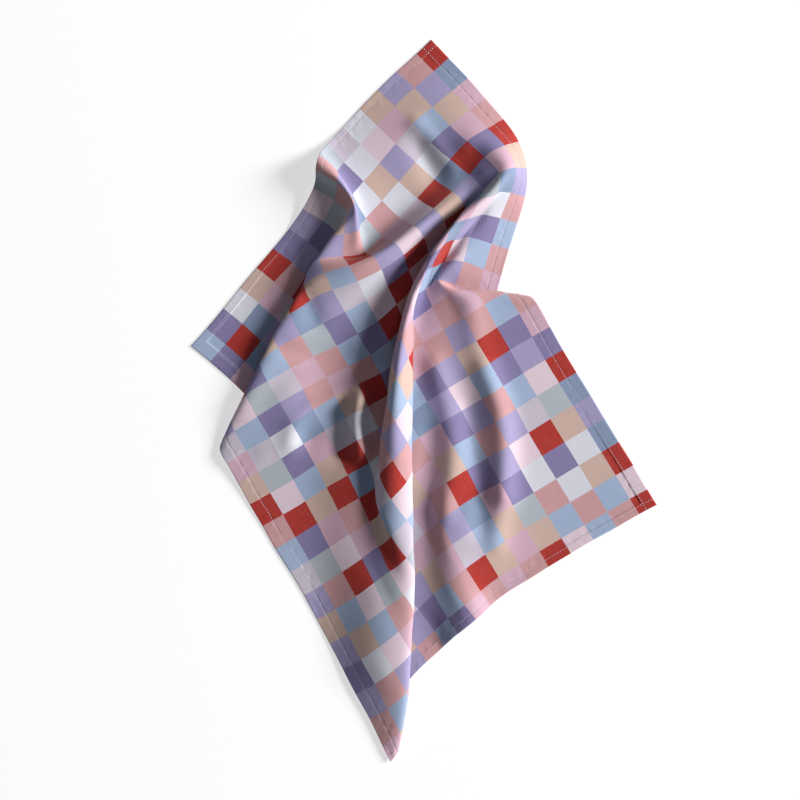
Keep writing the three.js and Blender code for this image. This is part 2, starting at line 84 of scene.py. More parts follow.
# %% The fold table
# columns of each place: (squares across, squares along, x, y, height)
FOLDS = [
    ("hem A-B, lying flat, then rising",
     (0, 0, 8, 417, 0.5), (2, 0, -32, 380, 0.5), (4, 0, -74, 337, 0.5),
     (6, 0, -114, 297, 5), (7, 0, -120, 282, 21)),
    ("hem A-B, the arch over the table",
     (7.5, 0, -122, 273, 27), (8, 0, -124, 264, 26), (9, 0, -124, 246, 15),
     (10, 0, -137, 222, 6), (11, 0, -152, 200, 1)),
    ("hem A-B, left flap",
     (12, 0, -174, 175, 0.5), (14, 0, -211, 132, 0.5), (17, 0, -268, 65, 0.5)),
    ("left flap, first row of squares",
     (9, 1, -98, 231, 11), (10, 1, -108, 207, 4), (12, 1, -146, 159, 2),
     (14, 1, -185, 113, 0.5), (17, 1, -245, 46, 0.5)),
    ("left flap, where the pleat covers it",
     (10, 2, -98, 197, 11), (12, 2, -136, 151, 2), (14, 2, -165, 98, 0.5),
     (16, 2, -202, 49, 0.5), (17, 2, -222, 25, 0.5)),
    ("left pleat, inner fold, hidden",
     (11.5, 3.3, -110, 133, 3.5), (13.9, 4.3, -134, 55, 3),
     (15.8, 5.1, -157, -13, 2.5), (17, 6, -150, -43, 2.5)),
    ("left pleat, outer edge",
     (9, 2, -80, 219, 25), (9.4, 2.4, -89, 208, 22), (10, 3, -113, 179, 17),
     (10.5, 4.4, -132, 156, 18), (12.8, 6.5, -171, 82, 17), (14.7, 7.7, -204, 24, 12),
     (15.9, 8.6, -221, -20, 9), (17, 9.4, -237, -60, 6)),
    ("hem A-D, round the top corner",
     (0, 2, 53, 372, 0.5), (0, 4, 92, 325, 2), (0, 5, 110, 300, 5), (0, 6, 118, 269, 6),
     (0, 7, 116, 236, 4)),
    ("hem A-D, right flap and its hidden end",
     (0, 8, 107, 205, 2), (0, 9, 97, 176, 0.5), (0, 10.3, 85, 135, 0.5),
     (0, 11.4, 75, 102, 2.5)),
    ("hem A-D, right panel",
     (0, 12.3, 100, 113, 6), (0, 13.2, 124, 126, 11), (0, 14, 130, 116, 8),
     (0, 15, 145, 87, 3), (0, 18, 192, 9, 0.5), (0, 21, 241, -71, 0.5),
     (0, 23, 268, -118, 0.5)),
    ("top panel, right half",
     (2, 1, -11, 362, 3), (2, 2, 11, 337, 6), (2, 3, 30, 313, 12), (2, 4, 48, 299, 20),
     (1, 4, 73, 310, 10), (1, 5, 93, 293, 20)),
    ("right peak",
     (2, 5, 68, 283, 28), (1.9, 6, 93, 266, 33), (1, 6, 108, 269, 22), (1, 7, 99, 241, 17)),
    ("hollow left of the right peak",
     (3, 2, -13, 324, 6), (3, 3, 7, 297, 4), (3.5, 4.2, 27, 265, 3), (3, 5, 54, 259, 5),
     (3, 4, 29, 277, 5)),
    ("top panel, middle",
     (4, 1, -55, 319, 3), (4, 2, -33, 294, 6), (4, 3, -8, 274, 9), (5, 4, -5, 231, 5),
     (4, 4, 14, 254, 4)),
    ("top panel, lower left",
     (6, 1, -94, 270, 7), (6, 2, -71, 250, 11), (6, 3, -49, 229, 9), (6, 4, -26, 208, 6),
     (7, 4, -48, 185, 5)),
    ("left peak",
     (7, 1, -100, 265, 24), (7.5, 1, -98, 258, 32), (8, 1, -95, 251, 31),
     (7, 2, -81, 239, 22), (8, 2, -75, 226, 31), (8.5, 2, -75, 223, 32),
     (7, 3, -70, 207, 13)),
    ("slack beside the left peak",
     (9, 3, -89, 191, 21), (8, 3, -73, 191, 20), (8, 4, -68, 164, 11), (9, 4, -94, 163, 16),
     (10, 4, -124, 163, 18)),
    ("cross roll, crest",
     (3, 6, 70, 242, 20), (4, 5.1, 38, 237, 22), (5, 5.1, 13, 218, 27),
     (6, 5.1, -11, 199, 31), (7, 5.1, -33, 183, 33), (8, 5.2, -56, 164, 33),
     (9, 5.2, -80, 149, 32), (10, 5.3, -112, 145, 28), (10.7, 5.8, -133, 135, 23)),
    ("cross roll, foot",
     (5, 6, 24, 210, 14), (6, 6, 1, 190, 17), (7, 6, -20, 168, 20), (8, 6, -46, 152, 24),
     (9, 6, -74, 137, 24), (10, 6, -105, 130, 24), (11, 6, -129, 117, 20),
     (12, 6, -151, 104, 19)),
    ("left panel, upper part",
     (8, 7, -42, 130, 9), (9, 7, -67, 117, 10), (10, 7, -88, 103, 12),
     (12, 7, -141, 76, 16), (14, 8, -178, 26, 14), (13, 8, -152, 41, 13)),
    ("left panel, middle",
     (9, 8, -50, 91, 4), (11, 8, -96, 60, 8), (13, 9, -134, 15, 11), (15, 10, -172, -43, 8),
     (16, 9, -216, -32, 10), (14, 10, -148, -24, 8), (12, 9, -109, 31, 7)),
    ("left panel, lower part",
     (12, 11, -93, -14, 4), (12, 10, -102, 9, 4), (14, 12, -125, -68, 4),
     (16, 12, -176, -99, 3), (17, 12, -204, -116, 2), (10, 9, -56, 50, 3),
     (11, 10, -71, 25, 3)),
    ("hem B-C, left panel",
     (17, 14, -172, -169, 0.5), (17, 17, -123, -248, 0.5), (17, 20, -81, -334, 0.5),
     (17, 22, -50, -397, 2), (17, 23, -38, -417, 3)),
    ("left panel, rising to the band",
     (15, 14, -120, -137, 3), (15, 17, -72, -219, 6), (15, 19, -50, -278, 12),
     (16, 20, -52, -320, 6), (16, 22, -21, -382, 12)),
    ("band, left inner fold, hidden",
     (4.2, 6.8, 52, 224, 8), (5.4, 7.7, 18, 185, 5), (6.3, 8.6, -10, 142, 3.5),
     (7.7, 9.9, -27, 78, 2.5), (9.8, 11.2, -34, 8, 2.5), (11.3, 12.6, -48, -47, 2.5),
     (12.5, 14.3, -59, -109, 3), (13.4, 16.3, -60, -167, 8)),
    ("ridge from the right peak into the band",
     (3, 7, 66, 232, 30), (4, 7.6, 44, 215, 31), (4.4, 9, 20, 181, 31),
     (5, 10, -5, 141, 31), (6, 11, -21, 97, 33), (7.2, 12, -25, 51, 34)),
    ("band, crest",
     (8.25, 12.75, -27, -6, 34), (9.25, 13.75, -28, -51, 33), (10.25, 14.75, -31, -97, 32),
     (11.25, 15.75, -28, -140, 33), (12.25, 16.75, -26, -183, 30),
     (13.25, 17.75, -31, -226, 26), (14.5, 19, -39, -270, 20), (15.5, 20, -42, -313, 15),
     (16.2, 20.9, -46, -350, 11)),
    ("band, left wall",
     (9.2, 11.9, -41, 1, 19), (10.3, 13.2, -51, -46, 21), (11.7, 14.6, -59, -107, 19)),
    ("band, right edge",
     (5.2, 10.3, -9, 129, 20), (6, 11.2, -11, 95, 19), (6.8, 12.2, -12, 51, 19),
     (7.7, 13.2, -12, 4, 19), (8.5, 14.1, -12, -39, 18), (9.5, 15.2, -8, -89, 17),
     (10.5, 16.3, -4, -135, 16), (12, 18, -3, -203, 18), (13, 19, -5, -243, 19),
     (14, 20.1, -8, -291, 17), (15, 21.2, -12, -335, 13), (16, 22.1, -20, -385, 9),
     (16.1, 23, -22, -396, 5)),
    ("band, right inner fold, hidden",
     (4.7, 10.7, -15, 126, 12), (5.5, 11.7, -20, 93, 10), (6.2, 12.8, -24, 51, 8),
     (7.15, 14.05, -28, 3, 7), (7.9, 15.1, -38, -43, 6), (8.9, 16.3, -41, -89, 5),
     (9.8, 17.4, -42, -135, 4.5), (11, 18.9, -43, -183, 4), (11.8, 19.8, -43, -229, 3.5),
     (12.9, 20.9, -43, -272, 3), (14.1, 23, -42, -340, 2.5)),
    ("crease along the ridge",
     (2, 8, 69, 218, 12), (3, 9.2, 28, 175, 14), (3.4, 10, 19, 159, 10),
     (4.2, 10.9, 0, 129, 8)),
    ("right flap",
     (1, 8, 83, 213, 10), (1, 9, 75, 182, 8), (2, 9, 50, 191, 17), (2, 10, 47, 165, 14),
     (1, 10, 63, 152, 6), (2, 11, 32, 138, 8), (3, 10.7, 14, 145, 12)),
    ("upper pleat, inner fold, hidden",
     (1, 11.5, 51, 112, 3), (2, 11.7, 28, 122, 4)),
    ("upper pleat, edge",
     (1, 12.85, 92, 133, 13), (2, 12.3, 60, 132, 14), (3, 11.8, 24, 129, 14),
     (3.5, 11.5, 12, 136, 12)),
    ("right panel, top",
     (1, 14, 109, 103, 6), (2, 14, 82, 85, 7), (3, 14, 57, 68, 8), (4, 13, 22, 85, 8),
     (4, 12, 10, 113, 8), (5, 13, -4, 68, 6), (5, 14, 11, 44, 4), (4, 14, 35, 56, 6)),
    ("right panel, at the band",
     (4.2, 11, -3, 127, 6), (4.9, 12.2, -7, 93, 4.5), (5.6, 13.4, -10, 51, 3),
     (6.6, 14.9, -11, 3, 2.5), (7.2, 16.2, -12, -43, 2), (8.2, 17.4, -8, -89, 0.5),
     (9, 18.5, -4, -135, 0.5), (10, 20, -3, -183, 0.5), (11, 21, -5, -233, 0.5),
     (12, 22, -5, -274, 0.5)),
    ("right panel, middle",
     (2, 16, 112, 33, 4), (5, 16, 46, -8, 3), (6, 16, 19, -22, 4), (8, 18, 7, -104, 2.5),
     (3, 18, 118, -35, 4), (5, 18, 72, -64, 8), (5, 19, 85, -93, 7), (7, 18, 26, -90, 6)),
    ("right panel, lower part",
     (2, 20, 177, -71, 2), (5, 21, 114, -144, 3), (8, 19, 17, -133, 10),
     (8, 20, 30, -161, 13), (9, 20, 15, -176, 6), (8, 21, 45, -189, 14),
     (9, 21, 24, -204, 11), (10, 21, 8, -218, 2), (8, 22, 63, -215, 9),
     (9, 22, 45, -230, 15), (10, 22, 27, -247, 9), (11, 22, 14, -260, 1)),
    ("hem D-C, right panel",
     (2, 23, 223, -144, 0.5), (4, 23, 169, -173, 0.5), (6, 23, 117, -206, 0.5),
     (8, 23, 77, -236, 3), (8.5, 23, 70, -241, 11), (9, 23, 62, -247, 17),
     (9.5, 23, 50, -257, 18), (10, 23, 39, -267, 13), (11, 23, 23, -280, 1),
     (12.4, 23, -8, -304, 2))
]


def from_corner(squares, side):
    """Distance on the flat cloth for a count of squares along one side."""
    return min(max(squares * SQUARE[side] - CUT_OFF[side], 0.0), CLOTH[side])


pins = np.array([place for name, *places in FOLDS for place in places], float)
pin_flat = np.array([[from_corner(p[0], "across"), from_corner(p[1], "along")] for p in pins])
pin_place = pins[:, 2:5]
print(len(FOLDS), "folds,", len(pins), "places")

# %% [markdown]
# ## A sheet bent through the folds
#
# A thin metal sheet that is forced through some points takes the smoothest shape it can. The
# *thin-plate spline* is the formula for that shape. One set of weights carries every place on the
# flat cloth to a place in space. It is smooth, but it stretches: metal foil would be happy with it,
# cotton would not. That is what the next step repairs.

# %% Thin-plate spline from flat cloth to space
UNIT = 100.0  # keeps the spline's sums small


def bend(flat, to):
    r2 = ((flat[:, None, :] - to[None, :, :]) ** 2).sum(2) / UNIT**2
    return 0.5 * r2 * np.log(np.maximum(r2, 1e-12))


def spline_through(flat, place, ease=0.003):
    """A function that takes flat cloth places to places in space, passing near every pin."""
    count = len(flat)
    ones = np.column_stack([np.ones(count), flat / UNIT])
    matrix = np.zeros((count + 3, count + 3))
    matrix[:count, :count] = bend(flat, flat) + ease * np.eye(count)
    matrix[:count, count:] = ones
    matrix[count:, :count] = ones.T
    weights = np.linalg.solve(matrix, np.vstack([place, np.zeros((3, 3))]))

    def surface(where):
        tail = np.column_stack([np.ones(len(where)), where / UNIT])
        return bend(where, flat) @ weights[:count] + tail @ weights[count:]

    return surface


STEPS = {"across": 80, "along": 112}  # cells of the relaxing sheet
CELL = {side: CLOTH[side] / STEPS[side] for side in STEPS}  # 6.25 mm each way
COLUMNS, ROWS = STEPS["across"] + 1, STEPS["along"] + 1
grid_s, grid_t = np.meshgrid(
    np.linspace(0, CLOTH["across"], COLUMNS), np.linspace(0, CLOTH["along"], ROWS)
)
grid_flat = np.column_stack([grid_s.ravel(), grid_t.ravel()])
bent = spline_through(pin_flat, pin_place)(grid_flat)
print("bent sheet:", bent.min(0).round(1), "to", bent.max(0).round(1), "mm")

# %% [markdown]
# ## Letting the cloth relax
#
# Woven cotton hardly stretches, bends easily, and can't pass through itself. Blender's own Cloth
# would let the sheet slide away from the folds that we want, so this small solver does simpler sums
# of the same kind, with the folds held:
#
# - every thread between two grid points is kept at its flat length, give or take a little, and the
#   diagonals too, though more loosely, because a weave shears,
# - each point drifts towards the middle of its neighbours, which is the cloth's stiffness,
# - the places of the fold table pull gently,
# - where one ply lies over another, or stands beside it in a steep fold, each is kept on its own
#   side and a gap stays between them,
# - nothing sinks into the table.

# %% Threads that keep their length
index = np.arange(COLUMNS * ROWS).reshape(ROWS, COLUMNS)


def threads(step_s, step_t, stiffness):
    """Pairs of grid points one step apart, in batches that share no point."""
    first = index[: ROWS - step_t, max(0, -step_s) : COLUMNS - max(0, step_s)]
    second = index[step_t:, max(0, step_s) : COLUMNS - max(0, -step_s)]
    rest = math.hypot(step_s * CELL["across"], step_t * CELL["along"])
    halves = (slice(0, None, 2), slice(1, None, 2))
    for half in halves:
        part = (slice(None), half) if step_s else (half, slice(None))
        yield first[part].ravel(), second[part].ravel(), rest, stiffness


THREAD, DIAGONAL = 1.0, 0.3  # how strictly each keeps its length
SHORTEST, LONGEST = 0.93, 1.01  # shares of the flat length that are left alone
THREADS = [
    batch
    for step in ((1, 0, THREAD), (0, 1, THREAD), (1, 1, DIAGONAL), (-1, 1, DIAGONAL))
    for batch in threads(*step)
]


def keep_lengths(cloth):
    for first, second, rest, stiffness in THREADS:
        gap = cloth[second] - cloth[first]
        length = np.maximum(np.linalg.norm(gap, axis=1), 1e-9)
        goal = np.clip(length, SHORTEST * rest, LONGEST * rest)
        move = (stiffness * 0.5 * (1 - goal / length))[:, None] * gap
        cloth[first] += move
        cloth[second] -= move


print("threads and diagonals kept:", sum(len(first) for first, *_ in THREADS))


# %% Stiffness and the table
def soften(cloth, share):
    """Moves each point towards the middle of its neighbours, along the grid's two directions."""
    net = cloth.reshape(ROWS, COLUMNS, 3)
    pull = np.zeros_like(net)
    ways = np.zeros((ROWS, COLUMNS, 1))
    pull[:, 1:-1] += 0.5 * (net[:, :-2] + net[:, 2:]) - net[:, 1:-1]
    ways[:, 1:-1] += 1
    pull[1:-1] += 0.5 * (net[:-2] + net[2:]) - net[1:-1]
    ways[1:-1] += 1
    net += share * pull / np.maximum(ways, 1)


def stay_on_table(cloth):
    np.maximum(cloth[:, 2], CLOTH["thickness"] / 2, out=cloth[:, 2])


print("lowest the cloth's middle may lie:", CLOTH["thickness"] / 2, "mm")

# %% The pull of the fold table
# each place falls in one cell of the grid, and is read from and passed on to its four corners
pin_u = np.minimum(pin_flat[:, 0] / CLOTH["across"] * STEPS["across"], STEPS["across"] - 1e-6)
pin_v = np.minimum(pin_flat[:, 1] / CLOTH["along"] * STEPS["along"], STEPS["along"] - 1e-6)
pin_column, pin_row = pin_u.astype(int), pin_v.astype(int)
part_u, part_v = pin_u - pin_column, pin_v - pin_row
pin_corners = np.stack(
    [index[pin_row + b, pin_column + a] for b in (0, 1) for a in (0, 1)], axis=1
)
pin_shares = np.stack(
    [(1 - part_u) * (1 - part_v), part_u * (1 - part_v), (1 - part_u) * part_v, part_u * part_v],
    axis=1,
)


def pull_to_pins(cloth, sideways=0.5, upward=0.3):
    now = (cloth[pin_corners] * pin_shares[:, :, None]).sum(1)
    miss = (pin_place - now) * np.array([sideways, sideways, upward])
    np.add.at(cloth, pin_corners, miss[:, None, :] * pin_shares[:, :, None])


print("places that pull on the grid:", len(pin_corners))

# %% Plies that never change sides
PLY_GAP = {"over": 3.4, "beside": 3.0}  # mm kept between the middles of two plies
PLY_REACH = {"over": 4.4, "beside": 3.6}  # mm within which two points are compared
PLY_SHARE = 0.8  # how much of what is missing is mended in one round
SAME_PLY = 4  # points fewer grid steps apart than this are one ply
CLEAR_ORDER = 1.5  # mm between the heights of two plies that say which is the upper


def near_pairs(places, reach):
    """Pairs of grid points that lie close together but are far apart in the cloth."""
    tree = KDTree(len(places))
    for k, place in enumerate(places):
        tree.insert(place, k)
    tree.balance()
    low, high = np.array([
        (k, other)
        for k, place in enumerate(places)
        for _, other, _ in tree.find_range(place, reach)
        if other > k
    ]).T
    steps = abs(low % COLUMNS - high % COLUMNS) + abs(low // COLUMNS - high // COLUMNS)
    return low[steps >= SAME_PLY], high[steps >= SAME_PLY]


def part_over(cloth):
    """Keeps plies that lie over each other in the order that the bent sheet gives them."""
    low, high = near_pairs(cloth * np.array([1.0, 1.0, 0.0]), PLY_REACH["over"])
    order = bent[high, 2] - bent[low, 2]
    clear = abs(order) > CLEAR_ORDER
    low, high, order = low[clear], high[clear], np.sign(order[clear])
    apart = (cloth[high, 2] - cloth[low, 2]) * order
    lift = PLY_SHARE * 0.5 * np.maximum(PLY_GAP["over"] - apart, 0) * order
    np.add.at(cloth[:, 2], high, lift)
    np.add.at(cloth[:, 2], low, -lift)
    return int((lift != 0).sum())


def normals_of(sheet):
    net = sheet.reshape(ROWS, COLUMNS, 3)
    out = np.cross(np.gradient(net, axis=1), np.gradient(net, axis=0)).reshape(-1, 3)
    return out / np.maximum(np.linalg.norm(out, axis=1), 1e-9)[:, None]


BENT_NORMALS = normals_of(bent)


def part_beside(cloth):
    """Keeps each ply on the side of its neighbour where the bent sheet has it."""
    low, high = near_pairs(cloth, PLY_REACH["beside"])
    side = np.sign(((bent[high] - bent[low]) * BENT_NORMALS[low]).sum(1))
    away = normals_of(cloth)[low] * side[:, None]
    apart = ((cloth[high] - cloth[low]) * away).sum(1)
    lift = (PLY_SHARE * 0.5 * np.maximum(PLY_GAP["beside"] - apart, 0))[:, None] * away
    move = np.zeros_like(cloth)
    np.add.at(move, high, lift)
    np.add.at(move, low, -lift)
    met = np.bincount(np.concatenate([low, high]), minlength=len(cloth))
    cloth += move / np.sqrt(np.maximum(met, 1))[:, None]


def part_the_plies(cloth):
    part_beside(cloth)
    touching = part_over(cloth)
    stay_on_table(cloth)
    return touching


print("close pairs in the bent sheet:", len(near_pairs(bent, PLY_REACH["beside"])[0]))

# %% Relax the sheet
ROUNDS, LAST_ROUNDS, IRONING = 80, 14, 8
STIFFNESS = 0.3


def relax(cloth):
    for step in range(ROUNDS):
        pull_to_pins(cloth)
        soften(cloth, STIFFNESS)
        for _ in range(3):
            keep_lengths(cloth)
        if step % 2 == 0 or step > ROUNDS - LAST_ROUNDS:
            part_the_plies(cloth)
        stay_on_table(cloth)
    for _ in range(IRONING):  # takes out the finest wrinkles
        soften(cloth, STIFFNESS)
        touching = part_the_plies(cloth)
    print("pairs of points still being parted:", touching)
    return cloth


relaxed = relax(bent.copy())
across_now = np.linalg.norm(np.diff(relaxed.reshape(ROWS, COLUMNS, 3), axis=1), axis=2).sum(1)
print("threads across:", across_now.min().round(), "to", across_now.max().round(), "mm of 500")

# %% [markdown]
# ## Soft ridges and hollows
#
# The folds are in place, but between them a real towel is never quite flat: it keeps low ridges and
# hollows where it was folded in the drawer or pushed by a hand. Each is written as a line on the
# cloth with a height and a half width. Seen across, it is a bell curve, which has no edge anywhere.
# They go in after the sheet has relaxed, because relaxing would iron them out.

# %% The swell table
# columns: (name, height in mm, half width in mm, then its line as squares across and along)
SWELLS = [
    ("right panel, ridge beside the band", 6, 13,
     (5, 14), (5.5, 15.8), (6, 17), (6.7, 17.9), (7.6, 18.8)),
    ("right panel, hollow at the band's foot", -4, 12,
     (6.6, 16.3), (7.6, 17.6), (8.4, 18.7)),
    ("right panel, hollow between its ridges", -4, 13,
     (4.6, 16.2), (5.3, 17.6), (5.8, 18.9), (6.6, 20)),
    ("right panel, start of the upper ridge", 4, 15,
     (2.6, 12.8), (3.1, 14.2)),
    ("right panel, upper ridge", 9.5, 14,
     (3.3, 15.1), (3.6, 16.6), (4.1, 17.8), (5.1, 19.4)),
    ("right panel, end of the upper ridge", 4, 12,
     (5.1, 19.4), (6.4, 20.9)),
    ("top panel, crease", 4.5, 10,
     (2.9, 2.1), (2.9, 3), (3.2, 4.2)),
    ("top panel, hollow beside the crease", -4, 14,
     (3.5, 2.8), (3.7, 3.5), (4, 4.2)),
    ("top panel, hollow at the right peak", -5, 12,
     (2.1, 4.7), (1.9, 5.8)),
    ("left panel, dimple under the roll", -5, 12,
     (11.1, 5.6), (11.2, 6.6)),
    ("left panel, crease across its middle", 4.5, 12,
     (14.4, 10.7), (13.9, 10.1), (12.9, 9.8), (12, 10.2), (11.1, 10.8)),
    ("left panel, hollow below the crease", -4, 13,
     (13.7, 10.9), (12.4, 10.8), (11.8, 11.1)),
    ("left panel, swell along the pleat", 3, 20,
     (15.2, 8.3), (13.9, 7.3), (12.6, 7)),
    ("left panel, hollow above its middle", -2.5, 11,
     (12.8, 7.3), (12.1, 7.9), (10.8, 8.2)),
    ("left panel, small crease at the hem", 2, 9,
     (15.5, 10.4), (14.4, 10.6)),
    ("left panel, lip beside the band", 20, 9,
     (11.1, 10.5), (11.6, 11.1), (11.9, 11.8), (12.1, 12.5)),
    ("left panel, hollow outside that lip", -4, 12,
     (12.5, 11), (12.9, 12.2)),
    ("left panel, long rise to the band", 9, 36,
     (13, 13.2), (13.8, 15), (14.8, 17.5), (15.6, 19.4)),
]


def distance_to_line(flat, line):
    """Shortest distance from each flat cloth place to a line of straight stretches."""
    nearest = np.full(len(flat), np.inf)
    for start, end in zip(line[:-1], line[1:]):
        way = end - start
        share = np.clip((flat - start) @ way / (way @ way), 0, 1)
        nearest = np.minimum(nearest, np.linalg.norm(flat - start - share[:, None] * way, axis=1))
    return nearest


def swell_height(flat):
    total = np.zeros(len(flat))
    for name, height, width, *line in SWELLS:
        line = np.array([[from_corner(i, "across"), from_corner(j, "along")] for i, j in line])
        total += height * np.exp(-((distance_to_line(flat, line) / width) ** 2))
    return total


SETTLING, SETTLING_STIFFNESS = 4, 0.15
relaxed[:, 2] += swell_height(grid_flat)
stay_on_table(relaxed)
for _ in range(SETTLING):  # no lengths are kept here: that would draw one ply through the next
    soften(relaxed, SETTLING_STIFFNESS)
    part_the_plies(relaxed)
print(len(SWELLS), "soft ridges and hollows")

# %% [markdown]
# ## From grid to cloth: thickness and turned hems
#
# The relaxed grid has cells of 6 mm, too coarse for a hem. A *cubic B-spline* on it is smooth
# everywhere and can be read at any place, so the finished mesh gets its own lines: close together
# in the hems, where the cloth is turned under twice and stitched, and 3 mm apart elsewhere.
#
# The upper face and the under face are two copies of that surface, half a thickness to each side.
# The hem's turned plies lie under the cloth, so the under face steps down at the hem's inner edge,
# while the upper face shows only the groove that the stitches pull, and the small puckers beside
# it.

# %% A smooth surface that can be read anywhere
def b_spline(places, cells):
    """Weights of a uniform cubic B-spline: a row for each place, a column for each grid line."""
    k = np.minimum(places.astype(int), cells - 1)
    f = places - k
    shares = ((1 - f) ** 3 / 6, (3 * f**3 - 6 * f**2 + 4) / 6,
              (-3 * f**3 + 3 * f**2 + 3 * f + 1) / 6, f**3 / 6)
    weights = np.zeros((len(places), cells + 3))
    for step, share in enumerate(shares):
        weights[np.arange(len(places)), k + step] += share
    weights[:, 1] += 2 * weights[:, 0]  # a line beyond the edge goes straight on
    weights[:, 2] -= weights[:, 0]
    weights[:, -2] += 2 * weights[:, -1]
    weights[:, -3] -= weights[:, -1]
    return weights[:, 1:-1]


def read_sheet(sheet, s, t):
    net = sheet.reshape(ROWS, COLUMNS, 3)
    to_s = b_spline(s / CLOTH["across"] * STEPS["across"], STEPS["across"])
    to_t = b_spline(t / CLOTH["along"] * STEPS["along"], STEPS["along"])
    return np.stack([to_t @ net[:, :, axis] @ to_s.T for axis in range(3)], axis=2)


print("corner A is at", read_sheet(relaxed, np.zeros(1), np.zeros(1)).ravel().round(1), "mm")

# %% Lines of the finished mesh
SEAM_INSET = 1.6  # the stitches run this far inside the hem's inner edge
SPACING = 3.2  # between lines away from the hems
CLEAR = 4.6  # from a hem's inner edge to the first of those lines


def mesh_lines(length, hem):
    """Places of the lines in mm: close together at the edge, the seam and the hem's inner edge."""
    seam = hem - SEAM_INSET
    edge = [0, 0.3, 0.9, 2.0, 4.0, 6.2]
    edge += [x for x in (8.4, 10.6) if x < seam - 1.6]
    edge += [seam - 1.1, seam - 0.5, seam, seam + 0.5, seam + 1.1, hem, hem + 0.6, hem + 2.2]
    start, end = hem + CLEAR, length - hem - CLEAR
    inner = np.linspace(start, end, round((length - 2 * hem - 2 * CLEAR) / SPACING))
    return np.array(edge + list(inner) + [length - x for x in reversed(edge)])


lines_s = mesh_lines(CLOTH["across"], HEM["long"])
lines_t = mesh_lines(CLOTH["along"], HEM["short"])
middle = read_sheet(relaxed, lines_s, lines_t)
print("finished mesh:", len(lines_s), "by", len(lines_t), "points")

# %% Hems: how far each point is from the edges, and what the sewing does there
to_long = np.minimum(lines_s, CLOTH["across"] - lines_s)[None, :] + 0 * lines_t[:, None]
to_short = np.minimum(lines_t, CLOTH["along"] - lines_t)[:, None] + 0 * lines_s[None, :]
run_s = lines_s[None, :] + 0 * lines_t[:, None]
run_t = lines_t[:, None] + 0 * lines_s[None, :]
rng = np.random.default_rng(11)
PUCKER = {"outside": 0.30, "inside": 0.26, "groove": 0.34}  # mm


def uneven(run, shortest, longest, waves=7):
    """A gentle unevenness along a hem: a few waves of random length and phase, from -1 to 1."""
    total = 0 * run
    for _ in range(waves):
        total += np.sin(2 * math.pi * run / rng.uniform(shortest, longest) + rng.uniform(0, 6.3))
    return total / math.sqrt(waves)


def bump_at(distance, centre, width):
    return np.exp(-(((distance - centre) / width) ** 2))


in_hem = np.maximum(to_long < HEM["long"] + 0.3, to_short < HEM["short"] + 0.3).astype(float)
pucker = np.zeros_like(to_long)
for distance, run, hem in ((to_long, run_t, HEM["long"]), (to_short, run_s, HEM["short"])):
    seam = hem - SEAM_INSET
    outside = bump_at(distance, seam - 4.2, 2.8) * uneven(run, 7, 17)
    inside = bump_at(distance, seam + 4.0, 3.2) * uneven(run, 8, 19)
    groove = bump_at(distance, seam, 0.75) * (1 + 0.25 * uneven(run, 6, 14))
    pucker += PUCKER["outside"] * outside + PUCKER["inside"] * inside - PUCKER["groove"] * groove
print("puckers from", pucker.min().round(2), "to", pucker.max().round(2), "mm")

# %% Upper and under face
ROUNDING = 0.9  # mm from the edge over which the cloth rounds off
EDGE_SHARE = 0.35  # of the thickness that is left at the very edge
PUCKER_THROUGH = 0.8  # share of a pucker that the under face takes
edge_round = np.sqrt(1 - (1 - np.clip(np.minimum(to_long, to_short) / ROUNDING, 0, 1)) ** 2)
fullness = EDGE_SHARE + (1 - EDGE_SHARE) * edge_round
down_s = np.gradient(middle, axis=1)
down_t = np.gradient(middle, axis=0)
normal = np.cross(down_s, down_t)
normal /= np.linalg.norm(normal, axis=2, keepdims=True)

half = CLOTH["thickness"] / 2
extra = (HEM["thickness"] - CLOTH["thickness"]) * in_hem
upper = middle + normal * (half * fullness + pucker)[:, :, None]
under = middle - normal * ((half + extra) * fullness - PUCKER_THROUGH * pucker)[:, :, None]
sunk = np.maximum(-np.minimum(upper[:, :, 2], under[:, :, 2]), 0)
upper[:, :, 2] += sunk
under[:, :, 2] += sunk
print("lifted off the table by up to", round(float(sunk.max()), 2), "mm")

# %% [markdown]
# ## One closed mesh, with the flat cloth as its map
#
# The print and the weave have to follow the threads, so the mesh carries a map that is simply the
# flat cloth, laid open like a book: the upper face fills the left page and the under face the
# right page, mirrored about the spine. The page is 1.04 m wide.

# %% Build the cloth
# in metres
PAGE = 1.04
MARGIN = 0.01
RIM_ON_MAP = 0.0018  # the cut edge's width on the map, outside the cloth's own outline
EDGE_TOLERANCE = 0.0001


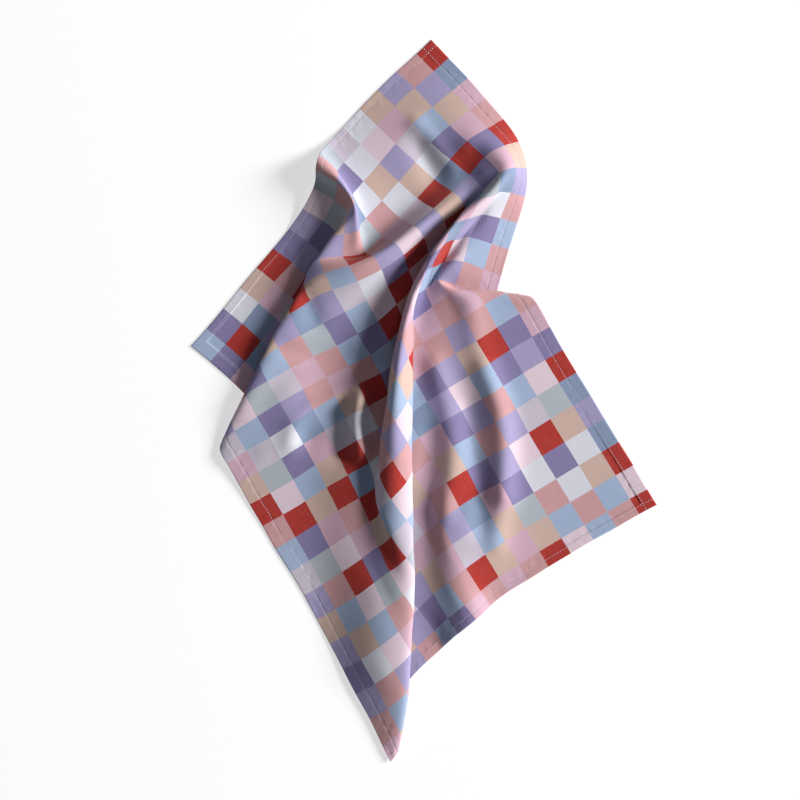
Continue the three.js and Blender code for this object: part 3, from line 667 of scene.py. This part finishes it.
def cloth_mesh(name, upper, under):
    rows, columns = upper.shape[:2]
    number = np.arange(rows * columns).reshape(rows, columns)
    quads = np.stack([number[:-1, :-1], number[:-1, 1:], number[1:, 1:], number[1:, :-1]], axis=2)
    quads = quads.reshape(-1, 4)
    loop = np.concatenate([number[0, :-1], number[:-1, -1], number[-1, :0:-1], number[:0:-1, 0]])
    after = np.roll(loop, -1)
    below = rows * columns
    rim = np.stack([loop, loop + below, after + below, after], axis=1)
    faces = np.vstack([quads, quads[:, ::-1] + below, rim])
    points = np.vstack([upper.reshape(-1, 3), under.reshape(-1, 3)]) * MM

    mesh = bpy.data.meshes.new(name)
    mesh.from_pydata(points.tolist(), [], faces.tolist())
    s = np.tile(lines_s, rows) * MM
    t = np.repeat(lines_t, columns) * MM
    left = np.column_stack([s + MARGIN, t + MARGIN])
    right = np.column_stack([PAGE - MARGIN - s, t + MARGIN])
    page = np.vstack([left, right])
    corner_uv = page[faces]
    half_size = np.array([CLOTH["across"], CLOTH["along"]]) / 2 * MM
    outward = left - (MARGIN + half_size)
    outward = np.sign(outward) * (np.abs(outward) > half_size - EDGE_TOLERANCE)
    corner_uv[-len(rim):, 1:3] = page[rim[:, [0, 3]]] + RIM_ON_MAP * outward[rim[:, [0, 3]]]
    layer = mesh.uv_layers.new(name="OFBake")
    layer.uv.foreach_set("vector", (corner_uv / PAGE).astype(np.float32).ravel())
    mesh.polygons.foreach_set("use_smooth", [True] * len(faces))
    mesh.update()
    piece = bpy.data.objects.new(name, mesh)
    bpy.context.scene.collection.objects.link(piece)
    return piece


towel = cloth_mesh("towel_cloth", upper, under)
print("cloth:", len(towel.data.vertices), "points,", len(towel.data.polygons), "faces")

# %% [markdown]
# ## Sewing the hems
#
# Each hem is held by one row of white lock stitches, one every 3.4 mm, that sink a little into the
# cloth. A stitch repeats many hundred times along a path, which is work for *Geometry Nodes*: the
# path is a curve on the seam line, points are set along it one stitch apart, and one small thread
# shape is set on each point, turned to the path. The last nodes turn the copies into real faces
# and give them their material.

# %% The seam lines, read from the cloth
def seam_paths():
    """Places on the upper face, and the cloth's normal there, along the four seam lines."""
    seam_s, seam_t = HEM["long"] - SEAM_INSET, HEM["short"] - SEAM_INSET
    for place in (seam_s, CLOTH["across"] - seam_s):
        column = int(np.argmin(abs(lines_s - place)))
        yield upper[:, column], normal[:, column]
    for place in (seam_t, CLOTH["along"] - seam_t):
        row = int(np.argmin(abs(lines_t - place)))
        yield upper[row, :], normal[row, :]


def path_object(name):
    """The four seam lines as one mesh of edges, with the cloth's normal kept on each point."""
    points, ups, edges = [], [], []
    for place, up in seam_paths():
        start = len(points)
        points += (place * MM).tolist()
        ups += up.tolist()
        edges += [(k, k + 1) for k in range(start, len(points) - 1)]
    mesh = bpy.data.meshes.new(name)
    mesh.from_pydata(points, edges, [])
    kept = mesh.attributes.new("cloth_up", "FLOAT_VECTOR", "POINT")
    kept.data.foreach_set("vector", np.array(ups, np.float32).ravel())
    piece = bpy.data.objects.new(name, mesh)
    bpy.context.scene.collection.objects.link(piece)
    return piece


seams = path_object("hem_stitches")
print("seam lines:", len(seams.data.vertices), "points")

# %% [markdown]
# ## Shader maths as plain expressions
#
# Materials here are sums on the flat cloth: which square am I in, which thread, how near the seam.
# A small class wraps a node's socket, so that such a sum is written as a Python expression and each
# operator adds its Math node. Any other node comes from one method.

# %% A small class for shader sums
def socket_of(node, key):
    """A node's input by number, as _0, or by name, with _ for a space."""
    return node.inputs[int(key[1:])] if key[1:].isdigit() else node.inputs[key.replace("_", " ")]


class Socket:
    def __init__(self, tree, output):
        self.tree, self.output = tree, output

    def node(self, kind, settings=None, **links):
        """Adds a node: its settings first, then its sockets, named with _ for a space."""
        node = self.tree.nodes.new(kind)
        for key, value in (settings or {}).items():
            setattr(node, key, value)
        for key, value in links.items():
            socket = socket_of(node, key)
            if isinstance(value, Socket):
                self.tree.links.new(value.output, socket)
            else:
                socket.default_value = value
        return node

    def of(self, node, name=0):
        return Socket(self.tree, node.outputs[name])

    def math(self, operation, first, second=0.0, third=0.0):
        settings = {"operation": operation}
        return self.of(self.node("ShaderNodeMath", settings, _0=first, _1=second, _2=third))

    def __add__(self, other):
        return self.math("ADD", self, other)

    __radd__ = __add__

    def __sub__(self, other):
        return self.math("SUBTRACT", self, other)

    def __rsub__(self, other):
        return self.math("SUBTRACT", other, self)

    def __mul__(self, other):
        return self.math("MULTIPLY", self, other)

    __rmul__ = __mul__

    def __truediv__(self, other):
        return self.math("DIVIDE", self, other)

    def __gt__(self, other):
        return self.math("GREATER_THAN", self, other)

    def floor(self):
        return self.math("FLOOR", self)

    def absolute(self):
        return self.math("ABSOLUTE", self)

    def sine(self):
        return self.math("SINE", self)

    def parity(self):
        return self.math("FLOORED_MODULO", self, 2.0)

    def least(self, other):
        return self.math("MINIMUM", self, other)

    def most(self, other):
        return self.math("MAXIMUM", self, other)

    def vector(self, x, y, z=0.0):
        return self.of(self.node("ShaderNodeCombineXYZ", None, X=x, Y=y, Z=z))

    def noise(self, where, scale, detail=2.0):
        settings = {"noise_dimensions": "3D"}
        node = self.node("ShaderNodeTexNoise", settings, Vector=where, Scale=scale, Detail=detail)
        return self.of(node, "Fac")

    def mix(self, share, first, second, blend="MIX"):
        settings = {"data_type": "RGBA", "blend_type": blend}
        node = self.node("ShaderNodeMix", settings, _0=share, _6=first, _7=second)
        return self.of(node, 2)

    def steps(self, value, colours):
        """A ramp of equal steps, one for each colour."""
        node = self.node("ShaderNodeValToRGB", None, Fac=value)
        ramp = node.color_ramp
        ramp.interpolation = "CONSTANT"
        for k, colour in enumerate(colours):
            place = k / len(colours)
            stop = ramp.elements[k] if k < 2 else ramp.elements.new(place)
            stop.position, stop.color = place, colour
        return self.of(node)


def new_material(name):
    """An empty material, its shader node, and a socket to start sums from."""
    material = bpy.data.materials.new(name)
    material.use_nodes = True
    tree = material.node_tree
    shader = tree.nodes["Principled BSDF"]
    return material, shader, Socket(tree, None)


def linear(red, green, blue):
    """A colour as it is seen on a screen, 0 to 255, turned to light."""
    lit = [((x / 255 + 0.055) / 1.055) ** 2.4 if x > 10 else x / 3295 for x in (red, green, blue)]
    return (*lit, 1.0)


print("shader sums ready; the colour white is", linear(255, 255, 255))

# %% [markdown]
# ## The printed cotton
#
# The print is a plain check of equal squares in a handful of soft colours with some strong red
# ones. Its arrangement is this script's own: each square takes a random number, and the squares of
# the check's two diagonal families draw from two different sets of colours, so that no two squares
# that share a side are ever alike. A colour that a set names twice or more comes up more often.
#
# Three things make it cotton and not paint: the ink's edge wanders by a thread or so, the ink lies
# unevenly on the yarns, lighter where a yarn is thick, and the weave stands up in a fine relief. On
# the under face the ink shows only faintly through the cloth, except on the hem's turned ply, which
# shows the printed side.

# %% Colours of the print
INK = {
    "red": linear(166, 38, 28), "light purple": linear(155, 147, 185),
    "dark purple": linear(125, 116, 158), "lilac": linear(191, 182, 197),
    "light blue": linear(153, 170, 199), "mid blue": linear(127, 143, 172),
    "grey green": linear(167, 174, 183), "pink": linear(197, 161, 179),
    "pale pink": linear(213, 193, 205), "salmon": linear(193, 147, 150),
    "beige": linear(194, 167, 156), "white": linear(206, 207, 218),
}
FAMILIES = (
    ("red", "light purple", "pink", "grey green", "light blue",
     "red", "white", "light purple", "pink", "light blue"),
    ("salmon", "dark purple", "lilac", "beige", "mid blue",
     "salmon", "pale pink", "dark purple", "salmon", "beige"),
)
SEED = 38.5  # chosen among many, for few like squares that touch at a corner
print(len(INK), "colours of ink")

# %% The cotton material
SPINE = PAGE * 500  # mm, the middle of the page
WANDER = 1.1  # mm from end to end that the edge of the ink strays

cotton, shader, at = new_material("printed_cotton")
page_map = at.of(at.node("ShaderNodeUVMap", {"uv_map": "OFBake"}))
page_xy = at.node("ShaderNodeSeparateXYZ", None, Vector=page_map)
page_x, page_y = at.of(page_xy, "X") * (PAGE * 1000), at.of(page_xy, "Y") * (PAGE * 1000)
across = SPINE - MARGIN * 1000 - (page_x - SPINE).absolute()
along = page_y - MARGIN * 1000
reverse = page_x > SPINE
flat_place = at.vector(across, along, reverse * 7.0)

wander_s = at.noise(flat_place, 0.35) - 0.5
wander_t = at.noise(at.vector(across + 311.0, along, 0.0), 0.35) - 0.5
square_s = ((across + wander_s * WANDER + CUT_OFF["across"]) / SQUARE["across"]).floor()
square_t = ((along + wander_t * WANDER + CUT_OFF["along"]) / SQUARE["along"]).floor()
draw = at.of(at.node("ShaderNodeTexWhiteNoise", {"noise_dimensions": "3D"},
                     Vector=at.vector(square_s, square_t, SEED)), "Value")
family = (square_s + square_t).parity()
print_colour = at.mix(
    family, *[at.steps(draw, [INK[name] for name in names]) for names in FAMILIES]
)
print("print:", len(at.tree.nodes), "nodes so far")

# %% Yarns: uneven ink, a faint show-through behind, and the weave's relief
YARN = 0.62  # mm from one yarn to the next
UNEVEN = {"yarns": 0.22, "specks": 0.42}  # how unevenly the ink lies
RELIEF = {"weave": 0.5, "yarns": 0.9, "specks": 0.5}
PALE, DEEP = linear(246, 244, 248), linear(70, 62, 84)
UNPRINTED = 0.62  # how far the ink fails to come through to the under face

thick_s = at.noise(at.vector(across * 0.05, along * 1.1, 3.0), 1.0, 3.0)
thick_t = at.noise(at.vector(across * 1.1, along * 0.05, 9.0), 1.0, 3.0)
speckle = at.noise(flat_place, 0.8, 4.0)
uneven_ink = (thick_s + thick_t - 1.0) * UNEVEN["yarns"] + (speckle - 0.5) * UNEVEN["specks"]
paler = at.mix((uneven_ink * 0.5).most(0.0), print_colour, PALE)
inked = at.mix((uneven_ink * -1.1).most(0.0), paler, DEEP)

edge_long = across.least(CLOTH["across"] - across)
edge_short = along.least(CLOTH["along"] - along)
turned = 1 - (edge_long > HEM["long"]) * (edge_short > HEM["short"])
behind = reverse * (1 - turned)
cloth_colour = at.mix(behind * UNPRINTED, inked, linear(240, 238, 242))
at.tree.links.new(cloth_colour.output, shader.inputs["Base Color"])

weft = (across * (math.pi / YARN)).sine()
warp = (along * (math.pi / YARN)).sine()
weave = weft * warp
relief = weave * RELIEF["weave"] + (thick_s + thick_t) * RELIEF["yarns"]
relief = relief + speckle * RELIEF["specks"]
bump = at.node("ShaderNodeBump", None, Strength=0.55, Distance=0.00022, Height=relief)
at.tree.links.new(bump.outputs["Normal"], shader.inputs["Normal"])
rough = 0.86 + (speckle - 0.5) * 0.12
at.tree.links.new(rough.output, shader.inputs["Roughness"])
shader.inputs["Sheen Weight"].default_value = 0.12
shader.inputs["Sheen Roughness"].default_value = 0.6
shader.inputs["Specular IOR Level"].default_value = 0.25
towel.data.materials.append(cotton)
print("printed cotton:", len(at.tree.nodes), "nodes")

# %% Thread for the hems
thread, shader, at = new_material("white_thread")
place = at.of(at.node("ShaderNodeTexCoord"), "Object")
twist = at.noise(place, 2600.0, 2.0)
at.tree.links.new(at.mix(twist, linear(186, 182, 194), linear(226, 224, 232)).output,
                  shader.inputs["Base Color"])
bump = at.node("ShaderNodeBump", None, Strength=0.4, Distance=0.00005, Height=twist)
at.tree.links.new(bump.outputs["Normal"], shader.inputs["Normal"])
at.tree.links.new((0.7 + twist * 0.15).output, shader.inputs["Roughness"])
print("thread material made")


# %% Geometry Nodes: one stitch on every step of the seam
STITCH = {"Stitch step": 0.0034, "Stitch length": 0.0027, "Thread radius": 0.00026,
          "Height": 0.0001}  # metres
WOBBLE = 0.16  # radians to either side
SEGMENTS, RINGS = 8, 6  # of the thread shape


def stitch_tree(name):
    tree = bpy.data.node_groups.new(name, "GeometryNodeTree")
    face = tree.interface
    face.new_socket("Geometry", in_out="INPUT", socket_type="NodeSocketGeometry")
    sizes = {}
    for label, size in STITCH.items():
        socket = face.new_socket(label, in_out="INPUT", socket_type="NodeSocketFloat")
        socket.default_value = size
        sizes[label] = socket.identifier
    cloth_thread = face.new_socket("Thread", in_out="INPUT", socket_type="NodeSocketMaterial")
    sizes["Thread"] = cloth_thread.identifier
    face.new_socket("Geometry", in_out="OUTPUT", socket_type="NodeSocketGeometry")

    def add(kind, settings=None, **links):
        node = tree.nodes.new(kind)
        for key, value in (settings or {}).items():
            setattr(node, key, value)
        for key, value in links.items():
            socket = socket_of(node, key)
            if isinstance(value, bpy.types.NodeSocket):
                tree.links.new(value, socket)
            else:
                socket.default_value = value
        return node

    given = add("NodeGroupInput")
    curve = add("GeometryNodeMeshToCurve", Mesh=given.outputs["Geometry"])
    up = add("GeometryNodeInputNamedAttribute", {"data_type": "FLOAT_VECTOR"}, Name="cloth_up")
    up_kept = add("GeometryNodeCaptureAttribute", {"domain": "POINT"},
                  Geometry=curve.outputs["Curve"])
    up_kept.capture_items.new("VECTOR", "Up")
    tree.links.new(up.outputs["Attribute"], up_kept.inputs["Up"])
    dots = add("GeometryNodeCurveToPoints", {"mode": "LENGTH"}, Curve=up_kept.outputs["Geometry"],
               Length=given.outputs["Stitch step"])
    along_path = add("FunctionNodeAlignRotationToVector", {"axis": "X"},
                     Vector=dots.outputs["Tangent"])
    upright = add("FunctionNodeAlignRotationToVector", {"axis": "Z", "pivot_axis": "X"},
                  Rotation=along_path.outputs["Rotation"], Vector=up_kept.outputs["Up"])
    wobble = add("FunctionNodeRandomValue", {"data_type": "FLOAT"}, Seed=5)
    wobble.inputs[2].default_value, wobble.inputs[3].default_value = -WOBBLE, WOBBLE
    turn = add("ShaderNodeCombineXYZ", None, Z=wobble.outputs[1])
    turned_more = add("FunctionNodeRotateRotation", {"rotation_space": "LOCAL"},
                      Rotation=upright.outputs["Rotation"], Rotate_By=turn.outputs["Vector"])
    stitch = add("GeometryNodeMeshUVSphere", None, Segments=SEGMENTS, Rings=RINGS,
                 Radius=1.0)
    half_length = add("ShaderNodeMath", {"operation": "MULTIPLY"},
                      _0=given.outputs["Stitch length"], _1=0.5)
    size = add("ShaderNodeCombineXYZ", None, X=half_length.outputs[0],
               Y=given.outputs["Thread radius"], Z=given.outputs["Thread radius"])
    copies = add("GeometryNodeInstanceOnPoints", None, Points=dots.outputs["Points"],
                 Instance=stitch.outputs["Mesh"], Rotation=turned_more.outputs["Rotation"],
                 Scale=size.outputs["Vector"])
    lift = add("ShaderNodeVectorMath", {"operation": "SCALE"}, Scale=given.outputs["Height"])
    tree.links.new(up_kept.outputs["Up"], lift.inputs[0])
    raised = add("GeometryNodeTranslateInstances", None, Instances=copies.outputs["Instances"],
                 Translation=lift.outputs["Vector"])
    raised.inputs["Local Space"].default_value = False
    real = add("GeometryNodeRealizeInstances", None, Geometry=raised.outputs["Instances"])
    coloured = add("GeometryNodeSetMaterial", None, Geometry=real.outputs["Geometry"],
                   Material=given.outputs["Thread"])
    add("NodeGroupOutput", None, Geometry=coloured.outputs["Geometry"])
    return tree, sizes


tree, sizes = stitch_tree("hem_stitch_row")
modifier = seams.modifiers.new("stitches", "NODES")
modifier.node_group = tree
modifier[sizes["Thread"]] = thread
modifier[sizes["Stitch step"]] = STITCH["Stitch step"]
ready = seams.evaluated_get(bpy.context.evaluated_depsgraph_get())
stitches_mesh = bpy.data.meshes.new_from_object(ready)
stitches = bpy.data.objects.new("towel_hem_stitches", stitches_mesh)
bpy.context.scene.collection.objects.link(stitches)
bpy.data.objects.remove(seams)
stitches_mesh.polygons.foreach_set("use_smooth", [True] * len(stitches_mesh.polygons))
stitch_faces = len(stitches_mesh.polygons)
print("stitches:", stitch_faces // (SEGMENTS * RINGS), "with", stitch_faces, "faces")

# %% The pieces take the CAD solid's place
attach(towel, "root")
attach(stitches, "root")
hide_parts("tea_towel")
print("pieces:", towel.name, "and", stitches.name)

# %% [markdown]
# ## Table, light and camera
#
# The towel lies on a plain white surface, lit by one large soft light low on the right, which gives
# the folds their round shading and the short shadows at their left. A weak light from everywhere
# opens the shadows, and the table glows a little, so that it stays white and the shadows on it
# stay faint. The camera looks straight down from a little over two metres, through a lens
# long enough to keep the towel's shape true.

# %% The table top
TABLE_SIDE = 6.0  # metres, far wider than the view from above
GREY = 0.45
GLOW = 0.58


def table_top(size=TABLE_SIDE):
    mesh = bpy.data.meshes.new("table_top")
    corners = [(x * size / 2, y * size / 2, 0) for x, y in ((-1, -1), (1, -1), (1, 1), (-1, 1))]
    mesh.from_pydata(corners, [], [(0, 1, 2, 3)])
    top = bpy.data.objects.new("table_top", mesh)
    bpy.context.scene.collection.objects.link(top)
    material, shader, _ = new_material("white_table")
    shader.inputs["Base Color"].default_value = (GREY, GREY, GREY, 1)
    shader.inputs["Roughness"].default_value = 0.9
    shader.inputs["Emission Color"].default_value = (1.0, 1.0, 1.0, 1)
    shader.inputs["Emission Strength"].default_value = GLOW
    mesh.materials.append(material)
    return top


table_top()
print("table:", TABLE_SIDE, "m each way")

# %% Light
WINDOW = {"place": (10.7, 2.3, 4.9), "side": 4.2, "power": 2760.0, "colour": (1.0, 0.985, 0.965)}
SKY = {"colour": (0.93, 0.95, 1.0, 1), "strength": 0.18}

light = bpy.data.lights.new("window", "AREA")
light.shape, light.size, light.size_y = "RECTANGLE", WINDOW["side"], WINDOW["side"]
light.energy, light.color = WINDOW["power"], WINDOW["colour"]
lamp = bpy.data.objects.new("window", light)
lamp.location = WINDOW["place"]
lamp.rotation_euler = (-Vector(WINDOW["place"])).to_track_quat("-Z", "Y").to_euler()
bpy.context.scene.collection.objects.link(lamp)

sky = bpy.data.worlds.new("soft_room")
bpy.context.scene.world = sky
sky.use_nodes = True
sky.node_tree.nodes["Background"].inputs["Color"].default_value = SKY["colour"]
sky.node_tree.nodes["Background"].inputs["Strength"].default_value = SKY["strength"]
bpy.context.scene.view_settings.view_transform = "Standard"
print("light:", round(Vector(WINDOW["place"]).length, 1), "m away")

# %% Camera, straight above
FOCAL_LENGTH, SENSOR = 85.0, 36.0
VIEW_WIDTH = 0.9176  # metres of the table from side to side
VIEW_MIDDLE = (-0.0272, 0.0031)

lens = bpy.data.cameras.new("camera")
lens.lens, lens.sensor_width = FOCAL_LENGTH, SENSOR
camera = bpy.data.objects.new("camera", lens)
camera.location = (*VIEW_MIDDLE, VIEW_WIDTH * FOCAL_LENGTH / SENSOR)
bpy.context.scene.collection.objects.link(camera)
bpy.context.scene.camera = camera
print("camera height:", round(camera.location.z, 2), "m")

# %% The end
print("towel scene set up")
